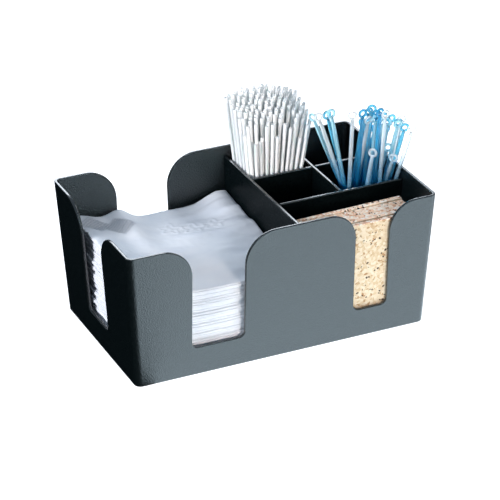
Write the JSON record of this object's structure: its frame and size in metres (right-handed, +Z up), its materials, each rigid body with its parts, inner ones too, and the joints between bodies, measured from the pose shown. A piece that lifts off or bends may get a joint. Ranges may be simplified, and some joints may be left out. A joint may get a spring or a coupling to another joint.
{
  "type": "napkin dispenser",
  "caption": "Low open bar caddy: a napkin bay with grab slots beside a coaster bay and four cups, holding folded napkins, cork coasters, straws and ring stirrers.",
  "frame": {"origin": "centre of the tray's flat base", "axes": "+X along the long front, towards the coaster end; +Y from the front to the back; +Z up"},
  "size_m": [0.2495, 0.1494, 0.1573],
  "materials": {
    "tray_plastic": "black ABS, satin, with a fine moulded grain",
    "napkin_paper": "soft embossed tissue, white",
    "cork": "pressed cork, fine flecks, matte",
    "straw_plastic": "thin translucent plastic tube",
    "stirrer_clear": "clear moulded plastic, glossy",
    "stirrer_blue": "transparent blue moulded plastic, glossy",
    "stirrer_pale": "transparent pale blue moulded plastic, glossy",
    "stirrer_dark": "transparent dark blue moulded plastic, glossy"
  },
  "bodies": {
    "caddy": {"caddy_tray": "tray_plastic", "bay_partition": "tray_plastic", "coaster_divider": "tray_plastic", "cross_divider": "tray_plastic", "column_divider": "tray_plastic"},
    "napkins": {"napkin_stack": "napkin_paper"},
    "top_napkin": {"top_napkin": "napkin_paper"},
    "coaster_1": {"coaster_1": "cork"},
    "coaster_2": {"coaster_2": "cork"},
    "coaster_3": {"coaster_3": "cork"},
    "coaster_4": {"coaster_4": "cork"},
    "coaster_5": {"coaster_5": "cork"},
    "coaster_6": {"coaster_6": "cork"},
    "straws": {"straw_bundle": "straw_plastic"},
    "stirrers": {"stirrer_01": "stirrer_pale", "stirrer_02": "stirrer_clear", "stirrer_03": "stirrer_blue", "stirrer_04": "stirrer_pale", "stirrer_06": "stirrer_blue", "stirrer_07": "stirrer_dark", "stirrer_08": "stirrer_clear", "stirrer_09": "stirrer_blue", "stirrer_10": "stirrer_blue", "stirrer_11": "stirrer_dark", "stirrer_12": "stirrer_pale", "stirrer_13": "stirrer_dark", "stirrer_14": "stirrer_pale", "stirrer_15": "stirrer_blue", "stirrer_16": "stirrer_clear", "stirrer_17": "stirrer_pale", "stirrer_18": "stirrer_blue", "stirrer_19": "stirrer_pale", "stirrer_20": "stirrer_clear", "stirrer_21": "stirrer_blue", "stirrer_22": "stirrer_clear", "stirrer_23": "stirrer_clear", "stirrer_24": "stirrer_pale", "stirrer_25": "stirrer_clear", "stirrer_26": "stirrer_blue", "stirrer_27": "stirrer_dark", "stirrer_28": "stirrer_blue", "stirrer_29": "stirrer_blue", "stirrer_30": "stirrer_dark", "stirrer_31": "stirrer_blue"},
    "single_stirrer": {"stirrer_05": "stirrer_clear"}
  },
  "joints": [
    {"name": "napkins_lift", "type": "slide", "parent": "caddy", "child": "napkins", "axis": [0, 0, 1], "range_m": [0, 0.105]},
    {"name": "top_napkin_lift", "type": "slide", "parent": "napkins", "child": "top_napkin", "axis": [0, 0, 1], "range_m": [0, 0.045]},
    {"name": "coaster_1_lift", "type": "slide", "parent": "caddy", "child": "coaster_1", "axis": [0, -0.0539, 0.9985], "range_m": [0, 0.105]},
    {"name": "coaster_2_lift", "type": "slide", "parent": "caddy", "child": "coaster_2", "axis": [0, -0.0539, 0.9985], "range_m": [0, 0.105]},
    {"name": "coaster_3_lift", "type": "slide", "parent": "caddy", "child": "coaster_3", "axis": [0, -0.0539, 0.9985], "range_m": [0, 0.105]},
    {"name": "coaster_4_lift", "type": "slide", "parent": "caddy", "child": "coaster_4", "axis": [0, -0.0539, 0.9985], "range_m": [0, 0.105]},
    {"name": "coaster_5_lift", "type": "slide", "parent": "caddy", "child": "coaster_5", "axis": [0, -0.0539, 0.9985], "range_m": [0, 0.105]},
    {"name": "coaster_6_lift", "type": "slide", "parent": "caddy", "child": "coaster_6", "axis": [0, -0.0539, 0.9985], "range_m": [0, 0.105]},
    {"name": "straws_lift", "type": "slide", "parent": "caddy", "child": "straws", "axis": [0, 0, 1], "range_m": [0, 0.105]},
    {"name": "stirrers_lift", "type": "slide", "parent": "caddy", "child": "stirrers", "axis": [0, 0, 1], "range_m": [0, 0.105]},
    {"name": "single_stirrer_lift", "type": "slide", "parent": "stirrers", "child": "single_stirrer", "axis": [0, 0, 1], "range_m": [0, 0.105]}
  ]
}
